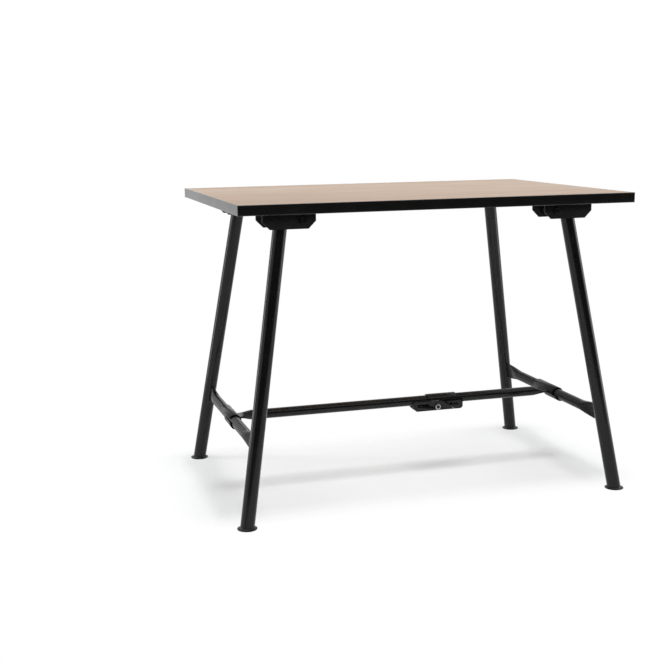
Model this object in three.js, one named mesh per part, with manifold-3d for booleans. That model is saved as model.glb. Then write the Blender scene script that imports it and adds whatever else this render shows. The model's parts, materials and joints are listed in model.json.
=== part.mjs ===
// Folding workbench: a plywood top on two folding pairs of splayed steel legs.
// Millimetres. +X runs along the top, -Y is the front, +Z is up, and the floor is z = 0.

import * as THREE from 'three';
import { mergeVertices } from 'three/addons/utils/BufferGeometryUtils.js';
import Module from 'manifold-3d';

const wasm = await Module();
wasm.setup();

// Driving dimensions
const LENGTH = 1100;
const DEPTH = 770;
const HEIGHT = 845;
const BOARD_THICK = 27;
const EDGE_THICK = 3;
const GAP = 0.3;

// Leg axis on the right and back, where it meets the board's underside and the floor
const LEG_AT_BOARD = new THREE.Vector2(406, 255);
const LEG_AT_FLOOR = new THREE.Vector2(538, 346);
const LEG_RADIUS = 19;
const TUBE_WALL = 2;

// Leg bracket, a steel channel that hangs under the board
const BRACKET_INNER_X = 325;
const BRACKET_OUTER_X = 468;
const BRACKET_WIDTH = 77;
const BRACKET_DEPTH = 45;
const BRACKET_PLATE = 4;
const BRACKET_CHAMFER = 20;
const SCREW_INSET_INNER = 12;
const SCREW_INSET_OUTER = 12;
const SCREW_SIDE = 24;
const SCREW_RADIUS = 3.2;
const SCREW_HEAD_RADIUS = 6.5;
const SCREW_HEAD_TALL = 4;
const SCREW_LENGTH = 21;

// Pivot that each leg folds on
const PIVOT_X = 360;
const PIVOT_DROP = 24;
const PIVOT_RADIUS = 6;
const PIVOT_HEX = 19;
const PIVOT_HEAD_TALL = 7.5;
const PIVOT_NUT_TALL = 10;
const PIVOT_TAIL = 3;

// Shoe on the leg's top end
const SHOE_WIDTH = 62;
const SHOE_PLATE = 5;
const SHOE_TALL = 40;
const SHOE_REST_GAP = 0.5;
const KNUCKLE_RADIUS = 13;
const NECK_INNER = 2;

// Foot: a flared rim under the leg, with a plug inside the tube
const FOOT_RADIUS = 26.5;
const FOOT_RIM_TALL = 2.4;
const FOOT_RIM_ROUND = 0.8;
const FOOT_NECK_RADIUS = 19.6;
const FOOT_SEAT = 6.5;
const FOOT_FLARE_STEPS = [[0.45, 0.25], [0.12, 0.6]];
const FOOT_PLUG_TALL = 34;

// Crossbar between a pair of legs, pressed flat at its ends
const BAR_HEIGHT = 215;
const BAR_RADIUS = 15;
const BAR_BLADE_TALL = 48;
const BAR_BLADE_THICK = 7;
const BAR_BLADE_LENGTH = 10;
const BAR_PRESS_LENGTH = 90;

// Brace along the bench, in two halves that part at the latch
const BRACE_RADIUS = 14.2;
const BRACE_BLADE_WIDE = 52;
const BRACE_BLADE_THICK = 6;
const BRACE_BLADE_LENGTH = 5;
const BRACE_PRESS_LENGTH = 38;

// Sleeve on a crossbar: a saddle over the bar and a hook under its front part, with angles
// from the brace's side of the bar and places along the bar
const SLEEVE_OUTER = 19;
const SLEEVE_INNER = 16.25;
const SADDLE_FRONT = -57;
const SADDLE_BACK = 71;
const SADDLE_TAIL = THREE.MathUtils.degToRad(-20);
const SADDLE_EDGE = THREE.MathUtils.degToRad(150);
const HOOK_FRONT = -80;
const HOOK_BACK = 0;
const HOOK_EDGE = THREE.MathUtils.degToRad(170);
const HOOK_TAIL = THREE.MathUtils.degToRad(350);
const SLEEVE_FACET = THREE.MathUtils.degToRad(10);

// Latch
const LATCH_X = 125;
const LATCH_DROP = 19;
const LONG_TUBE_END = 105;
const SHORT_TUBE_END = 143;
const CHANNEL_START = 46;
const CHANNEL_END = 206;
const CHANNEL_TOP = -0.8;
const CHANNEL_BOTTOM = -30;
const CHANNEL_WIDTH = 38;
const CHANNEL_WALL = 4;
const CHANNEL_CHAMFER = 12;
const CHANNEL_ROUND = 9;
const CHANNEL_SPLIT_X = 139;
const CHANNEL_SPLIT_SLOPE = 0.7;
const CHANNEL_SPLIT_GAP = 0.8;
const LONG_SLOT = { x: 79, length: 36 };
const SHORT_SLOT = { x: 176, length: 26 };
const SLOT_TALL = 5;
const SLOT_DROP = 12;
const LATCH_BOLT_RADIUS = 4;
const LATCH_HEAD_RADIUS = 9;
const LATCH_HEAD_TALL = 4.2;
const LATCH_NUT_HEX = 13;
const LATCH_NUT_TALL = 6.5;
const COVER_START = 95;
const COVER_END = 186;
const COVER_INNER = 14.9;
const COVER_OUTER = 17.7;
const COVER_EDGE_ANGLE = THREE.MathUtils.degToRad(4);

// Values worked out from these
const UNDERSIDE = HEIGHT - BOARD_THICK;
const PIVOT_Z = UNDERSIDE - PIVOT_DROP;
const BASE_TOP = UNDERSIDE - GAP;
const BASE_UNDER = BASE_TOP - BRACKET_PLATE;
const BRACKET_BOTTOM = UNDERSIDE - BRACKET_DEPTH;
const SHOE_TOP = BASE_UNDER - SHOE_REST_GAP;
const SHOE_UNDER = SHOE_TOP - SHOE_PLATE;
const LEAN = LEG_AT_BOARD.clone().sub(LEG_AT_FLOOR).divideScalar(UNDERSIDE);
const LEAN_LENGTH = Math.hypot(LEAN.x, LEAN.y, 1);
const SIDE_SLANT = Math.hypot(LEAN.x, 1);

function legAxis(z) {
  return LEG_AT_FLOOR.clone().addScaledVector(LEAN, z);
}

const BRACKET_Y = legAxis(PIVOT_Z).y;
const BAR_X = legAxis(BAR_HEIGHT).x;
const BAR_END = legAxis(BAR_HEIGHT).y - LEG_RADIUS * Math.hypot(LEAN.y, 1) - GAP;
const BRACE_START = BAR_X - SLEEVE_OUTER - GAP;

// Finishes
const plywood = new THREE.MeshStandardMaterial({ color: 0xd9c09a, roughness: 0.6, metalness: 0 });
const edging = new THREE.MeshStandardMaterial({ color: 0x1b1b1c, roughness: 0.5, metalness: 0 });
const blackSteel = new THREE.MeshStandardMaterial({ color: 0x141415, roughness: 0.38, metalness: 0.2 });
const rubber = new THREE.MeshStandardMaterial({ color: 0x101010, roughness: 0.75, metalness: 0 });
const zinc = new THREE.MeshStandardMaterial({ color: 0xc9ccd0, roughness: 0.3, metalness: 1 });

// Closed geometry with shared corners, no empty triangles, and its faces pointing out
function closed(geometry) {
  const bare = geometry.clone();
  for (const name of Object.keys(bare.attributes)) {
    if (name !== 'position') bare.deleteAttribute(name);
  }
  const merged = mergeVertices(bare);
  const corners = merged.attributes.position;
  const triangles = [];
  let volume = 0;
  const [a, b, c] = [new THREE.Vector3(), new THREE.Vector3(), new THREE.Vector3()];
  for (let i = 0; i < merged.index.count; i += 3) {
    const [p, q, r] = [0, 1, 2].map((step) => merged.index.getX(i + step));
    if (p === q || q === r || r === p) continue;
    triangles.push([p, q, r]);
    a.fromBufferAttribute(corners, p);
    b.fromBufferAttribute(corners, q);
    c.fromBufferAttribute(corners, r);
    volume += a.dot(b.cross(c));
  }
  if (volume < 0) triangles.forEach((triangle) => triangle.reverse());
  merged.setIndex(triangles.flat());
  return merged;
}

function toSolid(geometry) {
  const whole = closed(geometry);
  const vertProperties = Float32Array.from(whole.attributes.position.array);
  const triVerts = Uint32Array.from(whole.index.array);
  return new wasm.Manifold(new wasm.Mesh({ numProp: 3, vertProperties, triVerts }));
}

function fromSolid(solid) {
  const mesh = solid.getMesh();
  const geometry = new THREE.BufferGeometry();
  geometry.setAttribute('position', new THREE.BufferAttribute(Float32Array.from(mesh.vertProperties), 3));
  geometry.setIndex(Array.from(mesh.triVerts));
  return geometry;
}

function cut(body, ...tools) {
  return fromSolid(tools.reduce((left, tool) => left.subtract(toSolid(tool)), toSolid(body)));
}

function join(...bodies) {
  return fromSolid(bodies.map(toSolid).reduce((whole, body) => whole.add(body)));
}

function extrude(shape, depth, curveSegments) {
  return new THREE.ExtrudeGeometry(shape, { depth, curveSegments, bevelEnabled: false });
}

// Outline drawn in the XZ plane, run from one y to another
function alongY(shape, from, to, curveSegments = 10) {
  const swap = new THREE.Matrix4().set(1, 0, 0, 0, 0, 0, 1, from, 0, 1, 0, 0, 0, 0, 0, 1);
  return closed(extrude(shape, to - from, curveSegments).applyMatrix4(swap));
}

// Outline drawn in the YZ plane, run from one x to another
function alongX(shape, from, to, curveSegments = 10) {
  const swap = new THREE.Matrix4().set(0, 0, 1, from, 1, 0, 0, 0, 0, 1, 0, 0, 0, 0, 0, 1);
  return closed(extrude(shape, to - from, curveSegments).applyMatrix4(swap));
}

// Profile of radius and height, turned about the z axis
function turned(profile, segments) {
  const points = profile.map(([radius, height]) => new THREE.Vector2(radius, height));
  return closed(new THREE.LatheGeometry(points, segments).rotateX(Math.PI / 2));
}

function block(fromCorner, toCorner) {
  const size = toCorner.map((value, axis) => value - fromCorner[axis]);
  const middle = toCorner.map((value, axis) => (value + fromCorner[axis]) / 2);
  return new THREE.BoxGeometry(...size).translate(...middle);
}

function outline(points) {
  return new THREE.Shape(points.map(([x, y]) => new THREE.Vector2(x, y)));
}

function roundHole(x, y, radius) {
  return new THREE.Path().absarc(x, y, radius, 0, Math.PI * 2, false);
}

function hexagon(acrossFlats) {
  const radius = acrossFlats / Math.sqrt(3);
  const corners = [0, 1, 2, 3, 4, 5].map((corner) => (corner * Math.PI) / 3);
  return outline(corners.map((angle) => [radius * Math.cos(angle), radius * Math.sin(angle)]));
}

// Part of a ring, from one angle round to another
function ringSector(inner, outer, from, to) {
  const shape = new THREE.Shape();
  shape.absarc(0, 0, outer, from, to, false);
  shape.absarc(0, 0, inner, to, from, true);
  shape.closePath();
  return shape;
}

// Matrix that lays an upright round piece along the splayed leg and keeps its section round
function leaning() {
  const shear = new THREE.Matrix4().set(
    1, 0, LEAN.x, LEG_AT_FLOOR.x,
    0, 1, LEAN.y, LEG_AT_FLOOR.y,
    0, 0, 1, 0,
    0, 0, 0, 1,
  );
  const turn = new THREE.Matrix4().makeRotationZ(Math.atan2(LEAN.y, LEAN.x));
  const stretch = new THREE.Matrix4().makeScale(LEAN_LENGTH, 1, 1);
  return shear.multiply(turn).multiply(stretch).multiply(turn.clone().invert());
}

// Tube whose section changes along its length, open at both ends.
// A station holds its place, half width, half thickness, squareness and how far it is pressed.
const RING_POINTS = 20;

function sectionPoint(halfWide, halfThick, squareness, index) {
  const angle = (index * Math.PI * 2) / RING_POINTS;
  const bulge = (value) => Math.sign(value) * Math.abs(value) ** (2 / squareness);
  return [halfWide * bulge(Math.cos(angle)), halfThick * bulge(Math.sin(angle))];
}

function pressedTube(stations, place) {
  const positions = [];
  const faces = [];
  for (const inset of [0, TUBE_WALL]) {
    for (const station of stations) {
      for (let index = 0; index < RING_POINTS; index += 1) {
        const { wide, thick, squareness } = station;
        positions.push(...place(station, ...sectionPoint(wide - inset, thick - inset, squareness, index)));
      }
    }
  }
  const quad = (a, b, c, d) => faces.push(a, b, c, a, c, d);
  const last = stations.length - 1;
  const outer = (ring, index) => ring * RING_POINTS + (index % RING_POINTS);
  const inner = (ring, index) => stations.length * RING_POINTS + outer(ring, index);
  for (let i = 0; i < RING_POINTS; i += 1) {
    for (let ring = 0; ring < last; ring += 1) {
      quad(outer(ring, i), outer(ring, i + 1), outer(ring + 1, i + 1), outer(ring + 1, i));
      quad(inner(ring, i), inner(ring + 1, i), inner(ring + 1, i + 1), inner(ring, i + 1));
    }
    quad(outer(0, i + 1), outer(0, i), inner(0, i), inner(0, i + 1));
    quad(outer(last, i), outer(last, i + 1), inner(last, i + 1), inner(last, i));
  }
  const geometry = new THREE.BufferGeometry();
  geometry.setAttribute('position', new THREE.Float32BufferAttribute(positions, 3));
  geometry.setIndex(faces);
  return closed(geometry);
}

// Stations from a flat blade at "end" back to a round tube, along the given direction
const PRESS_STEPS = [1, 0.8, 0.5, 0.2, 0];

function pressedEnd(end, direction, size) {
  const flat = (at) => stationOf(at, 1, size);
  const pressStart = end + direction * size.bladeLength;
  const stations = PRESS_STEPS.map((press, step) => {
    const along = (step / (PRESS_STEPS.length - 1)) * size.pressLength;
    return stationOf(pressStart + direction * along, press, size);
  });
  return [flat(end), ...stations];
}

function stationOf(at, press, size) {
  return {
    at,
    press,
    wide: THREE.MathUtils.lerp(size.radius, size.bladeWide / 2, press),
    thick: THREE.MathUtils.lerp(size.radius, size.bladeThick / 2, press),
    squareness: THREE.MathUtils.lerp(2, 5, press),
  };
}

// Board with blind screw holes, and its four edge strips
function makeBoard() {
  const halfX = LENGTH / 2 - EDGE_THICK - GAP;
  const halfY = DEPTH / 2 - EDGE_THICK - GAP;
  const holes = screwPlaces().map(([x, y]) => {
    const hole = new THREE.CylinderGeometry(SCREW_RADIUS + GAP, SCREW_RADIUS + GAP, SCREW_LENGTH * 2, 10);
    return hole.rotateX(Math.PI / 2).translate(x, y, BASE_UNDER);
  });
  return cut(block([-halfX, -halfY, UNDERSIDE], [halfX, halfY, HEIGHT]), ...holes);
}

function makeLongEdge() {
  return block([-LENGTH / 2, -EDGE_THICK / 2, UNDERSIDE], [LENGTH / 2, EDGE_THICK / 2, HEIGHT]);
}

function makeShortEdge() {
  const halfY = DEPTH / 2 - EDGE_THICK - GAP;
  return block([-EDGE_THICK / 2, -halfY, UNDERSIDE], [EDGE_THICK / 2, halfY, HEIGHT]);
}

// Screw places in one bracket on the right and back, and in all four
function bracketScrewPlaces() {
  const columns = [BRACKET_INNER_X + SCREW_INSET_INNER, BRACKET_OUTER_X - SCREW_INSET_OUTER];
  return columns.flatMap((x) => [-1, 1].map((side) => [x, BRACKET_Y + side * SCREW_SIDE]));
}

function screwPlaces() {
  const mirrored = (sx, sy) => bracketScrewPlaces().map(([x, y]) => [x * sx, y * sy]);
  return [-1, 1].flatMap((sx) => [-1, 1].flatMap((sy) => mirrored(sx, sy)));
}

function makeScrew() {
  return turned([
    [0, -SCREW_HEAD_TALL],
    [SCREW_HEAD_RADIUS * 0.55, -SCREW_HEAD_TALL],
    [SCREW_HEAD_RADIUS * 0.9, -SCREW_HEAD_TALL * 0.6],
    [SCREW_HEAD_RADIUS, 0],
    [SCREW_RADIUS, 0],
    [SCREW_RADIUS, SCREW_LENGTH],
    [0, SCREW_LENGTH],
  ], 8);
}

// Channel with two hanging cheeks, chamfered at the lower corners
function makeBracket() {
  const shape = outline([
    [BRACKET_INNER_X, BASE_TOP],
    [BRACKET_OUTER_X, BASE_TOP],
    [BRACKET_OUTER_X, BRACKET_BOTTOM + BRACKET_CHAMFER],
    [BRACKET_OUTER_X - BRACKET_CHAMFER, BRACKET_BOTTOM],
    [BRACKET_INNER_X + BRACKET_CHAMFER, BRACKET_BOTTOM],
    [BRACKET_INNER_X, BRACKET_BOTTOM + BRACKET_CHAMFER],
  ]);
  shape.holes.push(roundHole(PIVOT_X, PIVOT_Z, PIVOT_RADIUS + GAP));
  const outer = alongY(shape, BRACKET_Y - BRACKET_WIDTH / 2, BRACKET_Y + BRACKET_WIDTH / 2, 8);
  const innerHalf = BRACKET_WIDTH / 2 - BRACKET_PLATE;
  const space = block(
    [BRACKET_INNER_X - 1, BRACKET_Y - innerHalf, BRACKET_BOTTOM - 1],
    [BRACKET_OUTER_X + 1, BRACKET_Y + innerHalf, BASE_UNDER],
  );
  const holes = bracketScrewPlaces().map(([x, y]) => {
    const hole = new THREE.CylinderGeometry(SCREW_RADIUS + GAP, SCREW_RADIUS + GAP, BRACKET_PLATE * 4, 10);
    return hole.rotateX(Math.PI / 2).translate(x, y, BASE_UNDER);
  });
  return cut(outer, space, ...holes);
}

// Bolt along y, its head on the outer cheek; and its nut on the inner cheek
function makePivotBolt() {
  const headStart = BRACKET_WIDTH / 2 + GAP;
  const tail = headStart + PIVOT_NUT_TALL + PIVOT_TAIL;
  const head = alongY(hexagon(PIVOT_HEX), headStart, headStart + PIVOT_HEAD_TALL);
  const shankLength = tail + headStart + PIVOT_HEAD_TALL / 2;
  const shank = new THREE.CylinderGeometry(PIVOT_RADIUS, PIVOT_RADIUS, shankLength, 16);
  shank.translate(0, shankLength / 2 - tail, 0);
  return join(head, shank);
}

function makeNut(acrossFlats, boltRadius, tall) {
  const shape = hexagon(acrossFlats);
  shape.holes.push(roundHole(0, 0, boltRadius + GAP));
  return alongY(shape, -tall, 0, 8);
}

// Shoe: bearing plate over the tube, web down the outside, and a knuckle round the pivot
function makeShoe() {
  const webFace = (z, offset) => legAxis(z).x + offset * SIDE_SLANT;
  const webInner = LEG_RADIUS + GAP;
  const webOuter = webInner + SHOE_PLATE;
  const webBottom = SHOE_TOP - SHOE_TALL;
  const neckX = PIVOT_X - NECK_INNER;
  const neckAngle = Math.acos(-NECK_INNER / KNUCKLE_RADIUS);
  const shape = new THREE.Shape();
  shape.moveTo(neckX, SHOE_TOP);
  shape.lineTo(webFace(SHOE_TOP, webOuter), SHOE_TOP);
  shape.lineTo(webFace(webBottom, webOuter), webBottom);
  shape.lineTo(webFace(webBottom, webInner), webBottom);
  shape.lineTo(webFace(SHOE_UNDER, webInner), SHOE_UNDER);
  shape.lineTo(PIVOT_X + KNUCKLE_RADIUS, SHOE_UNDER);
  shape.absarc(PIVOT_X, PIVOT_Z, KNUCKLE_RADIUS, 0, neckAngle, true);
  shape.closePath();
  shape.holes.push(roundHole(PIVOT_X, PIVOT_Z, PIVOT_RADIUS + GAP));
  return alongY(shape, BRACKET_Y - SHOE_WIDTH / 2, BRACKET_Y + SHOE_WIDTH / 2, 9);
}

// Splayed leg tube, and the foot under it
function makeLeg() {
  const ring = new THREE.Shape().absarc(0, 0, LEG_RADIUS, 0, Math.PI * 2, false);
  ring.holes.push(roundHole(0, 0, LEG_RADIUS - TUBE_WALL));
  const bottom = FOOT_SEAT + GAP;
  const tube = extrude(ring, SHOE_UNDER - GAP - bottom, 12).translate(0, 0, bottom);
  return closed(tube.applyMatrix4(leaning()));
}

function makeFoot() {
  const plug = LEG_RADIUS - TUBE_WALL - GAP;
  const flare = FOOT_RADIUS - FOOT_NECK_RADIUS;
  const rise = FOOT_SEAT - FOOT_RIM_TALL;
  const flareRings = FOOT_FLARE_STEPS.map(([out, up]) => [
    FOOT_NECK_RADIUS + flare * out,
    FOOT_RIM_TALL + rise * up,
  ]);
  const cap = turned([
    [0, 0],
    [FOOT_RADIUS - FOOT_RIM_ROUND, 0],
    [FOOT_RADIUS, FOOT_RIM_ROUND],
    [FOOT_RADIUS, FOOT_RIM_TALL],
    ...flareRings,
    [FOOT_NECK_RADIUS, FOOT_SEAT],
    [plug, FOOT_SEAT],
    [plug, FOOT_PLUG_TALL],
    [0, FOOT_PLUG_TALL],
  ], 20);
  return cap.applyMatrix4(leaning());
}

// Crossbar about the origin of its own axis, leaning at its blades with the legs on the right
function makeCrossbar() {
  const size = {
    radius: BAR_RADIUS,
    bladeWide: BAR_BLADE_TALL,
    bladeThick: BAR_BLADE_THICK,
    bladeLength: BAR_BLADE_LENGTH,
    pressLength: BAR_PRESS_LENGTH,
  };
  const front = pressedEnd(-BAR_END, 1, size);
  const back = pressedEnd(BAR_END, -1, size).reverse();
  return pressedTube([...front, ...back], (station, tall, thick) => [
    thick + station.press * LEAN.x * tall,
    station.at + Math.sign(station.at) * station.press * LEAN.y * tall,
    tall,
  ]);
}

// Half of the brace, from the blade at its crossbar's sleeve to a round end at the latch
function makeBraceTube(start, end) {
  const size = {
    radius: BRACE_RADIUS,
    bladeWide: BRACE_BLADE_WIDE,
    bladeThick: BRACE_BLADE_THICK,
    bladeLength: BRACE_BLADE_LENGTH,
    pressLength: BRACE_PRESS_LENGTH,
  };
  const stations = pressedEnd(start, Math.sign(end - start), size);
  stations.push(stationOf(end, 0, size));
  return pressedTube(stations, (station, wide, thick) => [station.at, wide, thick]);
}

// Sleeve of the left half about its crossbar's axis, from plate rolled over and under the bar
function rolledPlate(fromAngle, toAngle, front, back) {
  const facets = Math.round((toAngle - fromAngle) / SLEEVE_FACET);
  return alongY(ringSector(SLEEVE_INNER, SLEEVE_OUTER, fromAngle, toAngle), front, back, facets);
}

function makeSleeve() {
  return join(
    rolledPlate(SADDLE_TAIL, SADDLE_EDGE, SADDLE_FRONT, SADDLE_BACK),
    rolledPlate(HOOK_EDGE, HOOK_TAIL, HOOK_FRONT, HOOK_BACK),
  );
}

// Slotted tray under the latch in two lengths, a bolt across it, and the cover over the tubes' ends
function slotHole({ x, length }) {
  const radius = SLOT_TALL / 2;
  const reach = length / 2 - radius;
  const path = new THREE.Path();
  path.absarc(x + reach, -SLOT_DROP, radius, -Math.PI / 2, Math.PI / 2, false);
  path.absarc(x - reach, -SLOT_DROP, radius, Math.PI / 2, (Math.PI * 3) / 2, false);
  path.closePath();
  return path;
}

// The tray parts on a slope, so that either half can leave the other
function splitX(z) {
  return CHANNEL_SPLIT_X + (CHANNEL_TOP - z) / CHANNEL_SPLIT_SLOPE;
}

function hollowChannel(shape) {
  const innerHalf = CHANNEL_WIDTH / 2 - CHANNEL_WALL;
  const space = block(
    [CHANNEL_START - 1, -innerHalf, CHANNEL_BOTTOM + CHANNEL_WALL],
    [CHANNEL_END + 1, innerHalf, CHANNEL_TOP + 1],
  );
  return cut(alongY(shape, -CHANNEL_WIDTH / 2, CHANNEL_WIDTH / 2, 6), space);
}

function makeLongChannel() {
  const shape = outline([
    [CHANNEL_START, CHANNEL_TOP],
    [CHANNEL_START, CHANNEL_BOTTOM + CHANNEL_CHAMFER],
    [CHANNEL_START + CHANNEL_CHAMFER, CHANNEL_BOTTOM],
    [splitX(CHANNEL_BOTTOM), CHANNEL_BOTTOM],
    [splitX(CHANNEL_TOP), CHANNEL_TOP],
  ]);
  shape.holes.push(roundHole(LATCH_X, -LATCH_DROP, LATCH_BOLT_RADIUS + GAP), slotHole(LONG_SLOT));
  return hollowChannel(shape);
}

function makeShortChannel() {
  const roundX = CHANNEL_END - CHANNEL_ROUND;
  const shape = new THREE.Shape();
  shape.moveTo(splitX(CHANNEL_TOP) + CHANNEL_SPLIT_GAP, CHANNEL_TOP);
  shape.lineTo(splitX(CHANNEL_BOTTOM) + CHANNEL_SPLIT_GAP, CHANNEL_BOTTOM);
  shape.absarc(roundX, CHANNEL_BOTTOM + CHANNEL_ROUND, CHANNEL_ROUND, -Math.PI / 2, 0, false);
  shape.lineTo(CHANNEL_END, CHANNEL_TOP);
  shape.closePath();
  shape.holes.push(slotHole(SHORT_SLOT));
  return hollowChannel(shape);
}

function makeLatchBolt() {
  const shankEnd = -(CHANNEL_WIDTH + GAP * 2 + LATCH_NUT_TALL + 2);
  const bolt = turned([
    [0, LATCH_HEAD_TALL - 1.2],
    [LATCH_HEAD_RADIUS * 0.66, LATCH_HEAD_TALL - 1.2],
    [LATCH_HEAD_RADIUS * 0.72, LATCH_HEAD_TALL],
    [LATCH_HEAD_RADIUS * 0.94, LATCH_HEAD_TALL],
    [LATCH_HEAD_RADIUS, LATCH_HEAD_TALL - 0.8],
    [LATCH_HEAD_RADIUS, 0],
    [LATCH_BOLT_RADIUS, 0],
    [LATCH_BOLT_RADIUS, shankEnd],
    [0, shankEnd],
  ], 16);
  return bolt.rotateX(Math.PI / 2);
}

function makeLatchCover() {
  const shape = ringSector(COVER_INNER, COVER_OUTER, COVER_EDGE_ANGLE, Math.PI - COVER_EDGE_ANGLE);
  return alongX(shape, COVER_START, COVER_END, 10);
}

// Scene: the top with its brackets, two leg frames, and the two halves of the brace
const workbench = new THREE.Group();
const topGroup = new THREE.Group();
const frames = { left: new THREE.Group(), right: new THREE.Group() };
const longHalf = new THREE.Group();
const shortHalf = new THREE.Group();
workbench.add(topGroup, frames.left, frames.right, longHalf, shortHalf);
longHalf.position.z = BAR_HEIGHT;
shortHalf.position.z = BAR_HEIGHT;

function addPiece(group, name, geometry, material, place = [0, 0, 0]) {
  const mesh = new THREE.Mesh(closed(geometry), material);
  mesh.name = name;
  mesh.position.set(...place);
  group.add(mesh);
}

function mirrored(geometry, sx, sy) {
  return geometry.clone().applyMatrix4(new THREE.Matrix4().makeScale(sx, sy, 1));
}

addPiece(topGroup, 'worktop', makeBoard(), plywood);
for (const [side, sign] of [['front', -1], ['back', 1]]) {
  addPiece(topGroup, `edge_${side}`, makeLongEdge(), edging, [0, (sign * (DEPTH - EDGE_THICK)) / 2, 0]);
}
for (const [side, sign] of [['left', -1], ['right', 1]]) {
  addPiece(topGroup, `edge_${side}`, makeShortEdge(), edging, [(sign * (LENGTH - EDGE_THICK)) / 2, 0, 0]);
}

const nutFace = -(BRACKET_WIDTH / 2 + GAP);
for (const [end, sx] of [['left', -1], ['right', 1]]) {
  for (const [row, sy] of [['front', -1], ['back', 1]]) {
    const corner = `${row}_${end}`;
    const pivot = [sx * PIVOT_X, sy * BRACKET_Y, PIVOT_Z];
    addPiece(topGroup, `bracket_${corner}`, mirrored(makeBracket(), sx, sy), blackSteel);
    bracketScrewPlaces().forEach(([x, y], index) => {
      const place = [sx * x, sy * y, BASE_UNDER - GAP];
      addPiece(topGroup, `bracket_screw_${corner}_${index + 1}`, makeScrew(), zinc, place);
    });
    addPiece(topGroup, `pivot_bolt_${corner}`, mirrored(makePivotBolt(), 1, sy), blackSteel, pivot);
    const nut = makeNut(PIVOT_HEX, PIVOT_RADIUS, PIVOT_NUT_TALL).translate(0, nutFace, 0);
    addPiece(topGroup, `pivot_nut_${corner}`, mirrored(nut, 1, sy), blackSteel, pivot);
    addPiece(frames[end], `leg_shoe_${corner}`, mirrored(makeShoe(), sx, sy), blackSteel);
    addPiece(frames[end], `leg_${corner}`, mirrored(makeLeg(), sx, sy), blackSteel);
    addPiece(frames[end], `foot_${corner}`, mirrored(makeFoot(), sx, sy), rubber);
  }
  const bar = mirrored(makeCrossbar(), sx, 1);
  addPiece(frames[end], `crossbar_${end}`, bar, blackSteel, [sx * BAR_X, 0, BAR_HEIGHT]);
}

const latchBoltPlace = [LATCH_X, -(CHANNEL_WIDTH / 2 + GAP), -LATCH_DROP];
const latchNutPlace = [LATCH_X, CHANNEL_WIDTH / 2 + GAP + LATCH_NUT_TALL, -LATCH_DROP];
addPiece(longHalf, 'brace_tube_long', makeBraceTube(-BRACE_START, LONG_TUBE_END), blackSteel);
addPiece(longHalf, 'brace_sleeve_left', makeSleeve(), blackSteel, [-BAR_X, 0, 0]);
addPiece(longHalf, 'latch_channel_long', makeLongChannel(), blackSteel);
addPiece(longHalf, 'latch_bolt', makeLatchBolt(), zinc, latchBoltPlace);
const latchNut = makeNut(LATCH_NUT_HEX, LATCH_BOLT_RADIUS, LATCH_NUT_TALL);
addPiece(longHalf, 'latch_nut', latchNut, zinc, latchNutPlace);
addPiece(shortHalf, 'brace_tube_short', makeBraceTube(BRACE_START, SHORT_TUBE_END), blackSteel);
addPiece(shortHalf, 'brace_sleeve_right', mirrored(makeSleeve(), -1, 1), blackSteel, [BAR_X, 0, 0]);
addPiece(shortHalf, 'latch_channel_short', makeShortChannel(), blackSteel);
addPiece(shortHalf, 'latch_cover', makeLatchCover(), blackSteel);

export default workbench;
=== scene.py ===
# %% [markdown]
# # A folding workbench, dressed around its CAD frame
# The bench is a plywood board with a black edge strip, on two pairs of splayed steel legs that fold up
# under it. A crossbar ties each pair of legs, and a brace in two halves ties the crossbars and parts at
# a latch. The CAD frame is loaded first and never moves. Each piece made here stands for one of its
# nodes, or adds a weld or a black piece of painted shade to it, and rides on the same body, so the bench
# still folds.

# %% Load the frame
import json
import math

import bmesh
import bpy
from mathutils import Matrix, Vector

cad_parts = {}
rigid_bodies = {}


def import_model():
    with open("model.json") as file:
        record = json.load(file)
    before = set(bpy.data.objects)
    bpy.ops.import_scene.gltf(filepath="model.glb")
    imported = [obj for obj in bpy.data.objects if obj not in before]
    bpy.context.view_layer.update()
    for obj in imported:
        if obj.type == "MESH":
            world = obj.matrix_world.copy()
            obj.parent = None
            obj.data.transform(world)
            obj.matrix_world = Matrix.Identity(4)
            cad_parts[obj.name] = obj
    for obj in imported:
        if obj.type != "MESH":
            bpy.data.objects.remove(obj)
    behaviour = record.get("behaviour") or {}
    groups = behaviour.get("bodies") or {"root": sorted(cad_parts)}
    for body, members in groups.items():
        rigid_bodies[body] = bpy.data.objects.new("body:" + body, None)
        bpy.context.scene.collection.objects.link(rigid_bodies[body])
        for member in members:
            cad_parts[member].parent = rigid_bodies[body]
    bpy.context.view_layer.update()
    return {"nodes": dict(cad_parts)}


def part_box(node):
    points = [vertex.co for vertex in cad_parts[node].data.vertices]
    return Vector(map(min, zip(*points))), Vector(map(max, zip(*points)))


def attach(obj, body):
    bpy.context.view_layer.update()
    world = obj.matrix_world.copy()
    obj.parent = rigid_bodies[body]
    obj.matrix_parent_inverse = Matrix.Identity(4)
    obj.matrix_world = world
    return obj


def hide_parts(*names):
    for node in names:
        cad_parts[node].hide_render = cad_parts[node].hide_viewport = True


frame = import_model()
MM = 0.001
ENDS = {"left": -1, "right": 1}
ROWS = {"front": -1, "back": 1}
CORNERS = [(row, end) for end in ENDS for row in ROWS]
TOP = "bench_top"
FRAMES = {"left": "left_leg_frame", "right": "right_leg_frame"}
LONG_HALF = "brace_long_half"
SHORT_HALF = "brace_short_half"

# %% [markdown]
# ## Camera
# The bench is seen from its front left, from a little above the board. The camera comes first, so that
# every later render can be set beside the photograph. It could be turned by eye until the bench looks
# right, but then each edge is a little off. Its place and angles were solved from the board's corners,
# the feet and the crossbars instead, and there is no lens shift.

# %% Camera
CAMERA_PLACE = Vector((-1.1493, -3.2006, 1.0580))
CAMERA_AZIMUTH = math.radians(-16.579)
CAMERA_ELEVATION = math.radians(10.490)
CAMERA_ROLL = math.radians(-0.675)
CAMERA_LENS = 63.30
SENSOR = 36.0


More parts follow.
